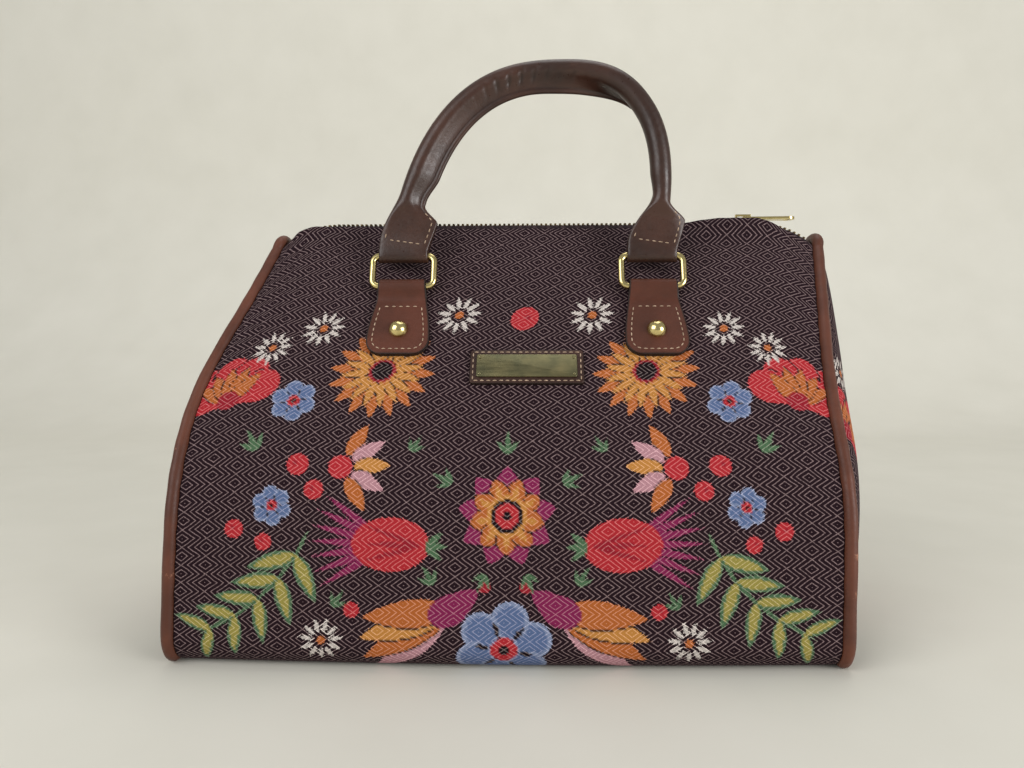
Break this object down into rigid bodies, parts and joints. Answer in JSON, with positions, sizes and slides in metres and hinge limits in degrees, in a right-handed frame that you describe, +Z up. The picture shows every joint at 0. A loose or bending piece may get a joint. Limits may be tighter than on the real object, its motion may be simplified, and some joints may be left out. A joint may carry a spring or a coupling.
{
  "type": "handbag",
  "caption": "Soft zip-top handbag of dark patterned fabric with rolled leather handles on brass rings, leather tabs and piping, and a small bare metal plate.",
  "frame": {"origin": "middle of the base's underside", "axes": "+Z up, +X along the zip, -Y towards the front with the plate"},
  "size_m": [0.3354, 0.2079, 0.2814],
  "materials": {
    "woven_fabric": "dark patterned jacquard",
    "lining_cloth": "plain woven cotton",
    "stiffening_board": "matt board",
    "leather": "chestnut, lightly grained, satin",
    "zip_tape": "dark woven tape",
    "zip_metal": "darkened brass",
    "brass": "polished brass",
    "antique_brass": "antique brass, brushed"
  },
  "bodies": {
    "bag": {"front_panel": "woven_fabric", "rear_panel": "woven_fabric", "base_panel": "woven_fabric", "left_end_panel": "woven_fabric", "right_end_panel": "woven_fabric", "lining": "lining_cloth", "base_board": "stiffening_board", "left_piping": "leather", "right_piping": "leather", "front_left_tab": "leather", "front_right_tab": "leather", "rear_left_tab": "leather", "rear_right_tab": "leather", "plate_backing": "leather", "front_zip_tape": "zip_tape", "rear_zip_tape": "zip_tape", "front_zip_teeth": "zip_metal", "rear_zip_teeth": "zip_metal", "front_rivets": "brass", "rear_rivets": "brass", "name_plate": "antique_brass", "plate_pins": "antique_brass"},
    "front_ring_pair": {"front_left_ring": "brass", "front_right_ring": "brass"},
    "front_grip": {"front_handle": "leather"},
    "rear_ring_pair": {"rear_left_ring": "brass", "rear_right_ring": "brass"},
    "rear_grip": {"rear_handle": "leather"},
    "slider": {"zip_slider": "brass"},
    "pull": {"zip_pull": "brass"}
  },
  "joints": [
    {"name": "front_ring_swing", "type": "hinge", "parent": "bag", "child": "front_ring_pair", "pos_m": [0.0095, -0.03589, 0.16857], "axis": [1, 0, 0], "range_deg": [0, 137]},
    {"name": "front_handle_swing", "type": "hinge", "parent": "front_ring_pair", "child": "front_grip", "pos_m": [0.0095, -0.03095, 0.18378], "axis": [1, 0, 0], "range_deg": [-4, 12]},
    {"name": "rear_ring_swing", "type": "hinge", "parent": "bag", "child": "rear_ring_pair", "pos_m": [0.0095, 0.03589, 0.16857], "axis": [1, 0, 0], "range_deg": [0, 137]},
    {"name": "rear_handle_swing", "type": "hinge", "parent": "rear_ring_pair", "child": "rear_grip", "pos_m": [0.0095, 0.04983, 0.16072], "axis": [1, 0, 0], "range_deg": [0, 15]},
    {"name": "zip_slide", "type": "slide", "parent": "bag", "child": "slider", "axis": [1, 0, 0], "range_m": [-0.209, 0]},
    {"name": "pull_turn", "type": "hinge", "parent": "slider", "child": "pull", "pos_m": [0.12355, 0, 0.2058], "axis": [0, -1, 0], "range_deg": [0, 170]}
  ]
}
